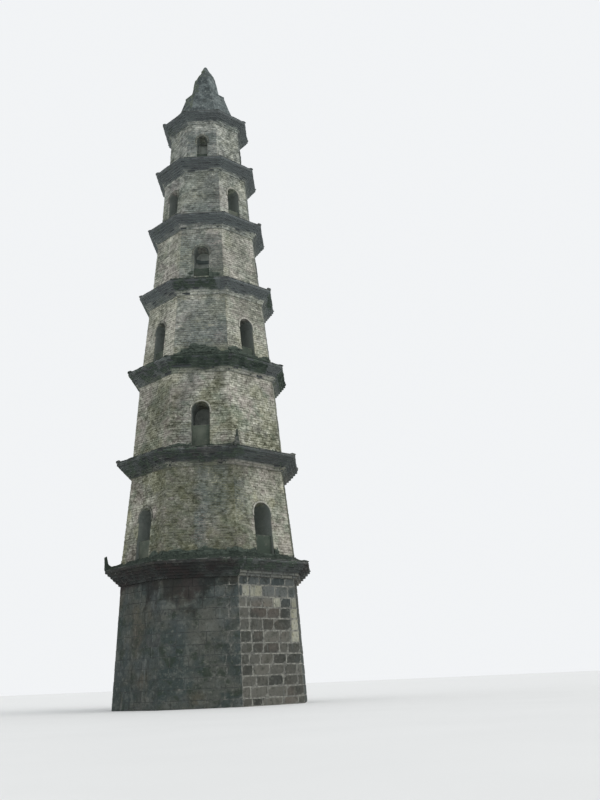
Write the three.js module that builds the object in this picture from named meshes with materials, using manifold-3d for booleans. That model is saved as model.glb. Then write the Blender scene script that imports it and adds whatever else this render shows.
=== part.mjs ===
// Seven-storey octagonal pagoda: a tall stone base storey and six tapering brick storeys.
// Millimetres, +Z up, origin at the middle of the ground level. The front face looks to -Y.
// An azimuth is measured from the front face towards +X. Radii are measured to the corners
// of the octagon, which stand at odd multiples of 22.5 degrees.

import * as THREE from 'three';
import { mergeVertices } from 'three/addons/utils/BufferGeometryUtils.js';
import Module from 'manifold-3d';

const wasm = await Module();
wasm.setup();

// Octagon
const SIDES = 8;
const STEP = 360 / SIDES;
const FLAT = Math.cos(THREE.MathUtils.degToRad(STEP / 2));
const SPLIT_AZIMUTH = -67.5;

// Gap between pieces that touch, distance at which corners join, and size of a sliver
const SEAM_GAP = 0.3;
const WELD = 0.001;
const SLIVER = 0.05;

// How far a piece runs into what trims it
const TRIM = 60;

const STOREYS = 7;

// Height of each eave edge above the ground, and the depth of the cornice under it
const EAVE_HEIGHTS = [5420, 9930, 14000, 17680, 21030, 24090, 26790];
const CORNICE_DEPTHS = [600, 620, 600, 580, 560, 520, 480];

// Outer corner radius of each storey's wall at its foot and at its top
const WALL_FOOT_RADII = [4110, 3850, 3420, 3060, 2620, 2210, 1850];
const WALL_TOP_RADII = [3830, 3433, 3125, 2713, 2341, 2026, 1711];

// Corner radius of the hollow inside each storey
const SHAFT_RADII = [2400, 2220, 2040, 1820, 1560, 1330, 1080];

// Corner radius of each eave edge, and how far a full horn reaches past it
const EDGE_RADII = [4480, 4080, 3650, 3190, 2810, 2460, 2130];
const HORN_REACH = 50;

// Cornice: corbelled courses under a plain edge band
const CORBEL_COURSES = 5;
const EDGE_BAND = 90;

// Eave roof: tile edge, rise against the wall above, and how far the slope sags, as a share of
// what it climbs
const TILE_EDGE = 60;
const ROOF_RISES = [290, 220, 220, 270, 280, 300, 440];
const ROOF_SAG = 0.3;
const SLOPE_STEPS = 3;

// Hip ridge and upturned horn at each corner of an eave
const RIDGE_THICKNESS = 160;
const RIDGE_HEIGHT = 80;
const RIDGE_BEND = 0.6;
const HORN_HEEL = 15;
const HORN_WIDTH = 150;
const HORN_POINT = 100;
const HORN_WHOLE = 700;
const HORN_FACE = 60;
const HORN_BULGE = 40;
const DIP_BACK = 300;
const DIP_BEND = 140;
const DIP_HEIGHT = 115;
const DIP_SHARE = 0.2;
const HORN_POINTS = 3;

// Height of what is left of each horn above its eave, for each eave from the ground up. The
// corners of an eave go round by azimuth from -157.5 to 157.5 degrees.
const HORN_TIPS = [
  [130, 95, 610, 90, 90, 100, 90, 150],
  [110, 120, 170, 90, 700, 130, 230, 100],
  [90, 100, 150, 95, 95, 110, 140, 100],
  [95, 90, 120, 90, 90, 180, 95, 100],
  [95, 90, 120, 90, 90, 170, 95, 100],
  [90, 95, 150, 90, 90, 130, 95, 90],
  [95, 90, 200, 95, 95, 100, 95, 100],
];

// Floors
const FLOOR_THICKNESS = 180;
const FLOOR_SEAT = 210;
const GROUND_FLOOR_THICKNESS = 150;

// Arched openings of storeys 2 to 7: clear width, foot and crown above the eave edge below,
// and the height of the infill that closes the lower part
const WINDOW_WIDTHS = [900, 760, 720, 680, 650, 500];
const WINDOW_FEET = [330, 240, 420, 380, 400, 330];
const WINDOW_CROWNS = [2420, 2150, 2130, 1920, 1860, 1560];
const INFILL_HEIGHTS = [760, 900, 380, 440, 340, 300];
const INFILL_RECESS = 110;
const EVEN_STOREY_WINDOWS = [-45, 45, 135, -135];
const ODD_STOREY_WINDOWS = [0, 90, 180, -90];
const ARCH_SEGMENTS = 5;
const ARCH_RIM_WIDTH = 60;
const ARCH_RIM_PROUD = 35;
const ARCH_RIM_BED = 200;
const ARCH_RIM_TRIM = 40;
const ARCH_RIM_LEG = 120;
const CUT_MARGIN = 500;
const HALF_BLOCK = 12000;
const CARRIED_HEIGHT = 1000;
const CARRIED_START = 10;

// Ground doorway on the back face
const DOOR_AZIMUTH = 180;
const DOOR_WIDTH = 1000;
const DOOR_HEIGHT = 2250;

// Roof above the top eave: bell, neck and finial
const BELL_FOOT_RADIUS = 1620;
const BELL_TOP_RADIUS = 995;
const BELL_TOP = 28600;
const BELL_SHELL = 300;
const BELL_CEILING = 260;
const NECK_FOOT_RADIUS = 760;
const NECK_TOP_RADIUS = 530;
const NECK_TOP = 29780;
const FINIAL_RADIUS = 500;
const FINIAL_TIP_RADIUS = 25;
const FINIAL_TOP = 30700;
const FINIAL_SIDES = 16;

const stone = () => new THREE.MeshStandardMaterial({ color: 0x51544f, roughness: 0.92, metalness: 0 });
const brick = () => new THREE.MeshStandardMaterial({ color: 0x8d8a7a, roughness: 0.95, metalness: 0 });
const darkBrick = () => new THREE.MeshStandardMaterial({ color: 0x434a4a, roughness: 0.9, metalness: 0 });
const tile = () => new THREE.MeshStandardMaterial({ color: 0x3d4644, roughness: 0.88, metalness: 0 });
const paving = () => new THREE.MeshStandardMaterial({ color: 0x5c5a52, roughness: 0.95, metalness: 0 });

const group = new THREE.Group();

function addPiece(name, geometry, material) {
  const piece = new THREE.Mesh(geometry, material);
  piece.name = name;
  group.add(piece);
  return piece;
}

// A geometry with only its positions, its near-equal corners joined and no empty triangle
function welded(geometry, distance) {
  const bare = new THREE.BufferGeometry();
  bare.setAttribute('position', geometry.getAttribute('position'));
  if (geometry.index) bare.setIndex(geometry.index);
  const merged = mergeVertices(bare, distance);
  const corners = Array.from(merged.index.array);
  const kept = [];
  for (let i = 0; i < corners.length; i += 3) {
    const [a, b, c] = corners.slice(i, i + 3);
    if (a !== b && b !== c && c !== a) kept.push(a, b, c);
  }
  merged.setIndex(kept);
  return merged;
}

// A closed geometry as a solid for joining and cutting
function toSolid(geometry) {
  const closed = welded(geometry, WELD);
  const mesh = new wasm.Mesh({
    numProp: 3,
    vertProperties: new Float32Array(closed.getAttribute('position').array),
    triVerts: new Uint32Array(closed.index.array),
  });
  return new wasm.Manifold(mesh);
}

// A solid back as a geometry, without the slivers that a cut leaves
function toGeometry(solid) {
  const mesh = solid.simplify(SLIVER).getMesh();
  const geometry = new THREE.BufferGeometry();
  geometry.setAttribute('position', new THREE.BufferAttribute(new Float32Array(mesh.vertProperties), 3));
  geometry.setIndex(new THREE.BufferAttribute(new Uint32Array(mesh.triVerts), 1));
  const closed = welded(geometry, SLIVER);
  closed.computeVertexNormals();
  return closed;
}

// Turns a [radius, height] outline round the tower's axis. The outline runs anticlockwise,
// with the radius to the right, so that the faces point out.
function turned(outline, sides = SIDES, firstCorner = STEP / 2) {
  const points = outline.map(([radius, height]) => new THREE.Vector2(radius, height));
  const onAxis = outline[0][0] === 0;
  if (!onAxis) points.push(points[0].clone());
  const geometry = new THREE.LatheGeometry(points, sides, THREE.MathUtils.degToRad(firstCorner));
  return geometry.rotateX(Math.PI / 2);
}

// Turns a geometry that stands on the front face to another azimuth
function atAzimuth(geometry, azimuth) {
  return geometry.rotateZ(THREE.MathUtils.degToRad(azimuth));
}

// Straight line between two values
function between(from, to, share) {
  return from + (to - from) * share;
}

function wallRadius(storey, height) {
  const foot = storeyFoot(storey);
  const top = storeyTop(storey);
  return between(WALL_FOOT_RADII[storey - 1], WALL_TOP_RADII[storey - 1], (height - foot) / (top - foot));
}

function storeyFoot(storey) {
  return storey === 1 ? 0 : EAVE_HEIGHTS[storey - 2];
}

function storeyTop(storey) {
  return EAVE_HEIGHTS[storey - 1] - CORNICE_DEPTHS[storey - 1];
}

// Upright arch on the front face, from the foot height to the crown, between two distances
// out from the axis
function archBlock(width, foot, crown, inner, outer) {
  const half = width / 2;
  const spring = crown - half;
  const shape = new THREE.Shape();
  shape.moveTo(-half, foot);
  shape.lineTo(half, foot);
  shape.lineTo(half, spring);
  shape.absarc(0, spring, half, 0, Math.PI, false);
  shape.closePath();
  return standingBlock(shape, inner, outer);
}

// Rim round the head of an arch with a short leg on each side, a little proud of the leaning
// wall face. Its inner side is trimmed when the opening is cut.
function archRim(storey, width, crown) {
  const half = width / 2;
  const spring = crown - half;
  const face = wallRadius(storey, spring) * FLAT;
  const lean = Math.atan(face - wallRadius(storey, spring + 1) * FLAT);
  const shape = new THREE.Shape();
  shape.moveTo(half - ARCH_RIM_TRIM, -ARCH_RIM_LEG);
  shape.lineTo(half + ARCH_RIM_WIDTH, -ARCH_RIM_LEG);
  shape.absarc(0, 0, half + ARCH_RIM_WIDTH, 0, Math.PI, false);
  shape.lineTo(-half - ARCH_RIM_WIDTH, -ARCH_RIM_LEG);
  shape.lineTo(-half + ARCH_RIM_TRIM, -ARCH_RIM_LEG);
  shape.absarc(0, 0, half - ARCH_RIM_TRIM, Math.PI, 0, true);
  shape.closePath();
  const rim = standingBlock(shape, -ARCH_RIM_BED, ARCH_RIM_PROUD);
  return rim.rotateX(-lean).translate(0, -face, spring);
}

// Extrudes a shape drawn in width and height along the front face's normal
function standingBlock(shape, inner, outer) {
  const geometry = new THREE.ExtrudeGeometry(shape, {
    depth: outer - inner,
    bevelEnabled: false,
    curveSegments: ARCH_SEGMENTS,
  });
  geometry.rotateX(Math.PI / 2);
  return geometry.translate(0, -inner, 0);
}

// Half of space beyond the plane that parts a ring into its front and back, as a large block
function halfBlock(side) {
  const block = new THREE.BoxGeometry(HALF_BLOCK, HALF_BLOCK, 3 * HALF_BLOCK);
  block.translate(0, side * (HALF_BLOCK + SEAM_GAP) / 2, HALF_BLOCK);
  return toSolid(atAzimuth(block, SPLIT_AZIMUTH + 90));
}

const frontHalf = halfBlock(-1);
const backHalf = halfBlock(1);

function wallRing(storey) {
  const foot = storeyFoot(storey);
  const top = storeyTop(storey);
  const shaft = SHAFT_RADII[storey - 1];
  const outline = [
    [shaft, foot],
    [WALL_FOOT_RADII[storey - 1], foot],
    [WALL_TOP_RADII[storey - 1], top],
    [shaft, top],
  ];
  return toSolid(turned(outline));
}

// What one window takes out of a wall, on the front face: the opening above the infill, and the
// shallow recess in front of the infill
function windowCut(storey) {
  const index = storey - 2;
  const width = WINDOW_WIDTHS[index];
  const foot = storeyFoot(storey) + WINDOW_FEET[index];
  const crown = storeyFoot(storey) + WINDOW_CROWNS[index];
  const infillTop = foot + INFILL_HEIGHTS[index];
  const inner = SHAFT_RADII[storey - 1] * FLAT - CUT_MARGIN;
  const outer = wallRadius(storey, foot) * FLAT + CUT_MARGIN;
  const infillFace = wallRadius(storey, infillTop) * FLAT - INFILL_RECESS;
  const through = toSolid(archBlock(width, infillTop, crown, inner, outer));
  const recess = toSolid(archBlock(width, foot, crown, infillFace, outer));
  return toGeometry(through.add(recess));
}

function addWindows(wall, storey) {
  const azimuths = storey % 2 === 0 ? EVEN_STOREY_WINDOWS : ODD_STOREY_WINDOWS;
  const crown = storeyFoot(storey) + WINDOW_CROWNS[storey - 2];
  const rim = archRim(storey, WINDOW_WIDTHS[storey - 2], crown);
  const cut = windowCut(storey);
  let result = wall;
  for (const azimuth of azimuths) {
    result = result
      .add(toSolid(atAzimuth(rim.clone(), azimuth)))
      .subtract(toSolid(atAzimuth(cut.clone(), azimuth)));
  }
  return result;
}

function cutDoorway(wall) {
  const inner = SHAFT_RADII[0] * FLAT - CUT_MARGIN;
  const outer = WALL_FOOT_RADII[0] * FLAT + CUT_MARGIN;
  const rim = archRim(1, DOOR_WIDTH, DOOR_HEIGHT);
  const opening = archBlock(DOOR_WIDTH, -CUT_MARGIN, DOOR_HEIGHT, inner, outer);
  return wall
    .add(toSolid(atAzimuth(rim, DOOR_AZIMUTH)))
    .subtract(toSolid(atAzimuth(opening, DOOR_AZIMUTH)));
}

function addWall(storey) {
  let wall = wallRing(storey);
  wall = storey === 1 ? cutDoorway(wall) : addWindows(wall, storey);
  const name = storey === 1 ? 'base_wall' : `storey_${storey}_wall`;
  const material = storey === 1 ? stone : brick;
  addPiece(`${name}_front`, toGeometry(wall.intersect(frontHalf)), material());
  addPiece(`${name}_back`, toGeometry(wall.intersect(backHalf)), material());
}

// Ring of corbelled courses that steps out from the top of a wall to the eave edge
function addCornice(storey) {
  const edgeHeight = EAVE_HEIGHTS[storey - 1];
  const foot = storeyTop(storey);
  const wall = WALL_TOP_RADII[storey - 1];
  const edge = EDGE_RADII[storey - 1];
  const carriesFloor = storey < STOREYS;
  const shaft = carriesFloor ? SHAFT_RADII[storey] - FLOOR_SEAT : SHAFT_RADII[storey - 1];
  const course = (edgeHeight - EDGE_BAND - foot) / CORBEL_COURSES;
  const outline = [[shaft, foot]];
  for (let i = 0; i < CORBEL_COURSES; i += 1) {
    const radius = between(wall, edge, (i + 1) / (CORBEL_COURSES + 1));
    outline.push([radius, foot + i * course], [radius, foot + (i + 1) * course]);
  }
  outline.push([edge, edgeHeight - EDGE_BAND], [edge, edgeHeight], [shaft, edgeHeight]);
  addPiece(`eave_${storey}_cornice`, toGeometry(toSolid(turned(outline))), darkBrick());
}

// Outer corner radius of what stands on an eave, at the eave edge and at the roof's upper end
function carriedRadius(storey, height) {
  if (storey < STOREYS) return wallRadius(storey + 1, height);
  const foot = EAVE_HEIGHTS[STOREYS - 1];
  return between(BELL_FOOT_RADIUS, BELL_TOP_RADIUS, (height - foot) / (BELL_TOP - foot));
}

// Height of the eave roof's surface above the eave edge, at a share of the way up its slope
function roofSurface(storey, share) {
  const climb = ROOF_RISES[storey - 1] - TILE_EDGE;
  return TILE_EDGE + climb * (share - ROOF_SAG * Math.sin(Math.PI * share));
}

// Hip ridge with the upturned horn on its end, drawn outwards from the wall and upwards
function hornPlate(storey, tip) {
  const eave = EAVE_HEIGHTS[storey - 1];
  const edge = EDGE_RADII[storey - 1];
  const ridgeTop = ROOF_RISES[storey - 1] + RIDGE_HEIGHT;
  const inner = carriedRadius(storey, eave) - 2 * TRIM;
  const upperInner = carriedRadius(storey, eave + ridgeTop) - 2 * TRIM;
  const tipRadius = edge + HORN_REACH;
  const faceFoot = Math.max(tip - HORN_FACE, HORN_HEEL);
  const dipRadius = edge - DIP_BACK;
  const dip = between(DIP_HEIGHT, tip, DIP_SHARE);
  const bendRadius = between(dipRadius, upperInner, RIDGE_BEND);
  const tipWidth = between(HORN_WIDTH, HORN_POINT, tip / HORN_WHOLE);
  const shape = new THREE.Shape();
  shape.moveTo(inner, 0);
  shape.lineTo(edge + HORN_HEEL, 0);
  shape.quadraticCurveTo(edge + HORN_BULGE, faceFoot / 2, tipRadius, faceFoot);
  shape.lineTo(tipRadius - HORN_HEEL, tip);
  shape.lineTo(tipRadius - tipWidth, tip);
  shape.quadraticCurveTo(edge - DIP_BEND, dip, dipRadius, dip);
  shape.quadraticCurveTo(bendRadius, between(dip, ridgeTop, RIDGE_BEND), upperInner, ridgeTop);
  shape.closePath();
  const plate = new THREE.ExtrudeGeometry(shape, {
    depth: RIDGE_THICKNESS,
    bevelEnabled: false,
    curveSegments: HORN_POINTS,
  });
  plate.translate(0, 0, -RIDGE_THICKNESS / 2);
  plate.rotateX(Math.PI / 2);
  plate.rotateZ(-Math.PI / 2);
  return plate.translate(0, 0, eave);
}

function addEaveRoof(storey) {
  const eave = EAVE_HEIGHTS[storey - 1];
  const edge = EDGE_RADII[storey - 1];
  const rise = ROOF_RISES[storey - 1];
  const outline = [[carriedRadius(storey, eave) - TRIM, eave], [edge, eave]];
  const upper = carriedRadius(storey, eave + rise) - TRIM;
  for (let i = 0; i <= SLOPE_STEPS; i += 1) {
    const share = i / SLOPE_STEPS;
    outline.push([between(edge, upper, share), eave + roofSurface(storey, share)]);
  }
  let roof = toSolid(turned(outline));
  HORN_TIPS[storey - 1].forEach((tip, corner) => {
    const azimuth = (corner + 0.5) * STEP - 180;
    roof = roof.add(toSolid(atAzimuth(hornPlate(storey, tip), azimuth)));
  });
  roof = roof.subtract(carriedSolid(storey));
  addPiece(`eave_${storey}_roof`, toGeometry(roof), tile());
}

// What an eave roof leans on, with the gap between them
function carriedSolid(storey) {
  const foot = EAVE_HEIGHTS[storey - 1];
  const start = foot - CARRIED_START;
  const top = foot + CARRIED_HEIGHT;
  const outline = [
    [0, start],
    [carriedRadius(storey, start) + SEAM_GAP / FLAT, start],
    [carriedRadius(storey, top) + SEAM_GAP / FLAT, top],
    [0, top],
  ];
  return toSolid(turned(outline));
}

function addFloors() {
  const groundRadius = SHAFT_RADII[0] - SEAM_GAP / FLAT;
  const ground = [
    [0, 0],
    [groundRadius, 0],
    [groundRadius, GROUND_FLOOR_THICKNESS],
    [0, GROUND_FLOOR_THICKNESS],
  ];
  addPiece('ground_floor', toGeometry(toSolid(turned(ground))), paving());
  for (let storey = 2; storey <= STOREYS; storey += 1) {
    const radius = SHAFT_RADII[storey - 1] - SEAM_GAP / FLAT;
    const foot = storeyFoot(storey);
    const top = foot + FLOOR_THICKNESS;
    const outline = [[0, foot], [radius, foot], [radius, top], [0, top]];
    addPiece(`storey_${storey}_floor`, toGeometry(toSolid(turned(outline))), paving());
  }
}

// Steep hollow roof over the top storey
function addBell() {
  const foot = EAVE_HEIGHTS[STOREYS - 1];
  const innerTop = BELL_TOP - BELL_CEILING;
  const share = (innerTop - foot) / (BELL_TOP - foot);
  const outline = [
    [0, innerTop],
    [between(BELL_FOOT_RADIUS, BELL_TOP_RADIUS, share) - BELL_SHELL, innerTop],
    [BELL_FOOT_RADIUS - BELL_SHELL, foot],
    [BELL_FOOT_RADIUS, foot],
    [BELL_TOP_RADIUS, BELL_TOP],
    [0, BELL_TOP],
  ];
  addPiece('roof_bell', toGeometry(toSolid(turned(outline))), tile());
}

function addNeck() {
  const outline = [[0, BELL_TOP], [NECK_FOOT_RADIUS, BELL_TOP], [NECK_TOP_RADIUS, NECK_TOP], [0, NECK_TOP]];
  addPiece('roof_neck', toGeometry(toSolid(turned(outline))), tile());
}

// Finial that tapers straight to its point
function addFinial() {
  const outline = [
    [0, NECK_TOP],
    [FINIAL_RADIUS, NECK_TOP],
    [FINIAL_TIP_RADIUS, FINIAL_TOP],
    [0, FINIAL_TOP],
  ];
  addPiece('roof_finial', toGeometry(toSolid(turned(outline, FINIAL_SIDES, 0))), tile());
}

for (let storey = 1; storey <= STOREYS; storey += 1) {
  addWall(storey);
  addCornice(storey);
  addEaveRoof(storey);
}
addFloors();
addBell();
addNeck();
addFinial();

export default group;
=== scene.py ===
"""Weathered looks of a seven-storey octagonal pagoda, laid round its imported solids.

Metres, +Z up. The front face looks to -Y. An azimuth is in degrees, from the front face towards
+X. Radii are measured to the corners of the octagon, which stand at odd multiples of 22.5 degrees.
"""

import copy
import math
from functools import partial

import bpy
import numpy as np
from mathutils import Matrix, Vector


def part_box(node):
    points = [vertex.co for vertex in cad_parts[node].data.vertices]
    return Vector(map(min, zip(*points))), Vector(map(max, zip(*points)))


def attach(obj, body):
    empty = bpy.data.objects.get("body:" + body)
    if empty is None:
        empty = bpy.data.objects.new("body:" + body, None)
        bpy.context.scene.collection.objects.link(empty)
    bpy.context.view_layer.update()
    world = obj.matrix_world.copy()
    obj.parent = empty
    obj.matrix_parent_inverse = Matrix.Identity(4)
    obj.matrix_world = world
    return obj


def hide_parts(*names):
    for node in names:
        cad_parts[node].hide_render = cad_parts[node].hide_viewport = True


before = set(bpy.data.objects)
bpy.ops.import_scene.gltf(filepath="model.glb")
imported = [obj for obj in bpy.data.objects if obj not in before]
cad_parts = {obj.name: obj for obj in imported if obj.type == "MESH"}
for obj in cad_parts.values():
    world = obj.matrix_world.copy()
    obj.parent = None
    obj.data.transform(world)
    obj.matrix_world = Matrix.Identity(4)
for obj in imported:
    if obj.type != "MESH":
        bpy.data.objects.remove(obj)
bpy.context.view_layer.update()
rng = np.random.default_rng(7)

# Octagon. The faces that the photo doesn't show weather like those it does.
SIDES = 8
HALF_SIDE = math.radians(22.5)
FLAT = math.cos(HALF_SIDE)
AZIMUTHS = [-135, -90, -45, 0, 45, 90, 135, 180]
LIKE_FACE = {-135: 45, -90: 0, -45: -45, 0: 0, 45: 45, 90: 0, 135: -45, 180: 0}
STOREYS = range(1, 8)
UP = np.array([0, 0, 1.0])

# Driving dimensions of the solids, by storey from the ground up
EAVE_Z = [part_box(f"eave_{s}_cornice")[1].z for s in STOREYS]
CORNICE_FOOT_Z = [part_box(f"eave_{s}_cornice")[0].z for s in STOREYS]
EDGE_RADII = [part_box(f"eave_{s}_cornice")[1].y / FLAT for s in STOREYS]
WALL_FOOT_RADII = [4.11, 3.85, 3.42, 3.06, 2.62, 2.21, 1.85]
WALL_TOP_RADII = [3.83, 3.433, 3.125, 2.713, 2.341, 2.026, 1.711]
CORBEL_COURSES = 5
EDGE_BAND = 0.09
TILE_EDGE = 0.06
ROOF_RISES = [0.29, 0.22, 0.22, 0.27, 0.28, 0.3, 0.44]
ROOF_SAG = 0.3

# Hip ridges, and the height of what is left of each horn above its eave. The corners of an eave
# go round from azimuth -157.5 to 157.5.
HORN_REACH = 0.05
RIDGE_HEIGHT = 0.08
DIP_BACK = 0.3
DIP_HEIGHT = 0.115
WHOLE_HORN = 0.7
HORN_TIPS = [
    [0.130, 0.095, 0.610, 0.090, 0.090, 0.100, 0.090, 0.150],
    [0.110, 0.120, 0.170, 0.090, 0.700, 0.130, 0.230, 0.100],
    [0.090, 0.100, 0.150, 0.095, 0.095, 0.110, 0.140, 0.100],
    [0.095, 0.090, 0.120, 0.090, 0.090, 0.180, 0.095, 0.100],
    [0.095, 0.090, 0.120, 0.090, 0.090, 0.170, 0.095, 0.100],
    [0.090, 0.095, 0.150, 0.090, 0.090, 0.130, 0.095, 0.090],
    [0.095, 0.090, 0.200, 0.095, 0.095, 0.100, 0.095, 0.100],
]

# Arched openings by storey, the doorway first: clear width, foot and crown above the storey's foot,
# height of the infill in the lower part, and how far the infill lies behind the wall face
OPENING_WIDTHS = [1.0, 0.9, 0.76, 0.72, 0.68, 0.65, 0.5]
OPENING_FEET = [0.0, 0.33, 0.24, 0.42, 0.38, 0.4, 0.33]
OPENING_CROWNS = [2.25, 2.42, 2.15, 2.13, 1.92, 1.86, 1.56]
INFILL_HEIGHTS = [0.0, 0.76, 0.9, 0.38, 0.44, 0.34, 0.3]
INFILL_RECESS = 0.11
RIM_WIDTH = 0.06
RIM_PROUD = 0.035
RIM_LEG = 0.12
VOUSSOIR_WIDTH = 0.13

# Roof above the top eave
BELL_FOOT_RADIUS = 1.62
BELL_TOP_RADIUS = 0.995
BELL_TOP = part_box("roof_bell")[1].z
NECK_FOOT_RADIUS = 0.76
NECK_TOP_RADIUS = 0.53
NECK_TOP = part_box("roof_neck")[1].z
FINIAL_RADIUS = 0.5
FINIAL_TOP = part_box("roof_finial")[1].z

# Masonry. The courses of the base are listed from its top down, the rest are as the last one.
BRICK_COURSE = 0.105
BRICK_LENGTH = 0.28
BRICK_JOINT = 0.014
BRICK_BED = 0.01
EAVE_BRICK_LENGTH = 0.3
EDGING_LENGTH = 0.26
STONE_COURSES = [0.34, 0.45, 0.4, 0.42, 0.46, 0.46, 0.4]
STONE_JOINT = 0.045
THINNEST_HALF = 0.004

# How far bricks and stones reach past the corners of the octagon, to close the corners
BRICK_LAP = 0.004
STONE_LAP = 0.006

# Faces of the base with rougher, pointed masonry
POINTED_FACES = (45, 90, -135)

# Camera, fitted to the eave corners in the photo. Its turns are pitch, yaw and roll.
CAMERA_AZIMUTH = 7.0545
CAMERA_DISTANCE = 39.375
CAMERA_HEIGHT = 0.79
CAMERA_TURNS = 0.2995173, 0.1035168, 0.0427555
CAMERA_LENS = 41.07


# Places on the octagon

def outward(azimuth):
    a = math.radians(azimuth)
    return np.array([math.sin(a), -math.cos(a), 0.0])


def along(azimuth):
    x, y, _ = outward(azimuth)
    return np.array([-y, x, 0.0])


def azimuth_of(points):
    return np.degrees(np.arctan2(points[..., 0], -points[..., 1]))


def between(low, high, share):
    return low + (high - low) * share


def smooth_step(low, high, value):
    t = np.clip((value - low) / (high - low), 0, 1)
    return t * t * (3 - 2 * t)


def storey_foot(storey):
    return 0.0 if storey == 1 else EAVE_Z[storey - 2]


def wall_radius(storey, z):
    foot, top = storey_foot(storey), CORNICE_FOOT_Z[storey - 1]
    return between(WALL_FOOT_RADII[storey - 1], WALL_TOP_RADII[storey - 1], (z - foot) / (top - foot))


def opening_azimuths(storey):
    if storey == 1:
        return [180]
    return [0, 90, 180, -90] if storey % 2 else [-45, 45, 135, -135]


def opening(storey):
    """Clear width, foot and spring height of a storey's arched openings."""
    width, eave = OPENING_WIDTHS[storey - 1], storey_foot(storey)
    return width, eave + OPENING_FEET[storey - 1], eave + OPENING_CROWNS[storey - 1] - width / 2


def place_on_wall(points, storey):
    """Azimuth of the face each point lies on, that of the face it weathers like, and its shares
    across (-1 to 1) and up it."""
    azimuth = azimuth_of(points)
    face = np.round(azimuth / 45) * 45
    across = np.tan(np.radians(azimuth - face)) / math.tan(HALF_SIDE)
    face = np.where(face < -170, 180, face)
    like = np.select([face == azimuth for azimuth in AZIMUTHS], [LIKE_FACE[a] for a in AZIMUTHS])
    foot, top = storey_foot(storey), CORNICE_FOOT_Z[storey - 1]
    return face, like, across, (points[..., 2] - foot) / (top - foot)


def by_face(like, left, front, right):
    return np.select([like == -45, like == 0, like == 45], [left, front, right])


class Face:
    """One leaning face of the octagon, between two heights. Its own directions are across, up
    the slope and out of the face."""

    def __init__(self, azimuth, low_radius, low_z, high_radius, high_z):
        self.radii, self.heights = (low_radius, high_radius), (low_z, high_z)
        self.origin = outward(azimuth) * low_radius * FLAT + UP * low_z
        top = outward(azimuth) * high_radius * FLAT + UP * high_z
        self.length = float(np.linalg.norm(top - self.origin))
        self.across = along(azimuth)
        self.up = (top - self.origin) / self.length
        self.out = np.cross(self.across, self.up)

    def half_width(self, up):
        return between(*self.radii, up / self.length) * math.sin(HALF_SIDE)

    def height(self, up):
        return between(*self.heights, up / self.length)

    def at(self, places):
        """Places in space, from (across, up) places on the face."""
        return self.origin + places[:, :1] * self.across + places[:, 1:] * self.up

    def turned(self, across, up, turn):
        """The face moved along itself, then turned about its outward direction."""
        other = copy.copy(self)
        other.across = self.across * math.cos(turn) + self.up * math.sin(turn)
        other.up = self.up * math.cos(turn) - self.across * math.sin(turn)
        other.origin = self.origin + self.across * across + self.up * up
        return other


# Noise with a fixed seed, for weathering that follows places on the tower

def cell_values(cells, seed):
    key = (cells[..., 0] * 73856093) ^ (cells[..., 1] * 19349663) ^ (cells[..., 2] * 83492791)
    key = (key ^ (seed * 2654435761)) & 0xFFFFFFFF
    key = ((key ^ (key >> 15)) * 2246822519) & 0xFFFFFFFF
    key = ((key ^ (key >> 13)) * 3266489917) & 0xFFFFFFFF
    return ((key ^ (key >> 16)) & 0xFFFF) / 65535.0


def patchy(points, size, seed):
    """Smooth values from 0 to 1 that change over about the given size."""
    scaled = points / size
    base = np.floor(scaled).astype(np.int64)
    part = scaled - base
    part = part * part * (3 - 2 * part)
    total = np.zeros(scaled.shape[:-1])
    for corner in np.ndindex(2, 2, 2):
        step = np.array(corner)
        weight = np.prod(np.where(step == 1, part, 1 - part), axis=-1)
        total += weight * cell_values(base + step, seed)
    return total


def rough(points, size, seed, z_scale=1.0):
    """Patchy values with finer ones on top, drawn out upwards by a small z scale."""
    points = points * np.array([1, 1, z_scale])
    fine = patchy(points, size / 2.3, seed + 11) * 0.5 + patchy(points, size / 5.1, seed + 23) * 0.25
    return (patchy(points, size, seed) + fine) / 1.75


# Meshes

def add_object(name, data):
    added = bpy.data.objects.new(name, data)
    bpy.context.scene.collection.objects.link(added)
    return added


def make_piece(name, slot, material, points, quads, values, smooth=True):
    mesh = bpy.data.meshes.new(name)
    points = np.asarray(points, np.float32).reshape(-1, 3)
    mesh.vertices.add(len(points))
    mesh.vertices.foreach_set("co", points.ravel())
    mesh.loops.add(quads.size)
    mesh.loops.foreach_set("vertex_index", quads.ravel().astype(np.int32))
    mesh.polygons.add(len(quads))
    mesh.polygons.foreach_set("loop_start", np.arange(0, quads.size, 4, dtype=np.int32))
    mesh.update(calc_edges=True)
    mesh.polygons.foreach_set("use_smooth", np.full(len(quads), smooth))
    for label, data in values.items():
        layer = mesh.attributes.new(label, "FLOAT", "POINT")
        layer.data.foreach_set("value", np.asarray(data, np.float32).ravel())
    mesh.materials.append(materials[material])
    mesh.validate()
    piece = add_object(name, mesh)
    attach(piece, "root")
    return piece


def joined(parts):
    """Several (points, quads, values) meshes as one."""
    points = [part[0].reshape(-1, 3) for part in parts]
    starts = np.cumsum([0] + [len(p) for p in points])
    quads = [part[1] + start for part, start in zip(parts, starts)]
    values = {key: np.concatenate([part[2][key].ravel() for part in parts]) for key in parts[0][2]}
    return np.concatenate(points), np.concatenate(quads), values


def grid_quads(rows, columns, ring=False, closed=False):
    """Quads of a grid of places. In a ring each row meets itself, and in a closed grid the last
    row meets the first."""
    low = np.arange(rows if closed else rows - 1)[:, None]
    here = np.arange(columns if ring else columns - 1)
    high, there = (low + 1) % rows * columns, (here + 1) % columns
    low = low * columns
    return np.stack([low + here, low + there, high + there, high + here], axis=-1).reshape(-1, 4)


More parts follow.
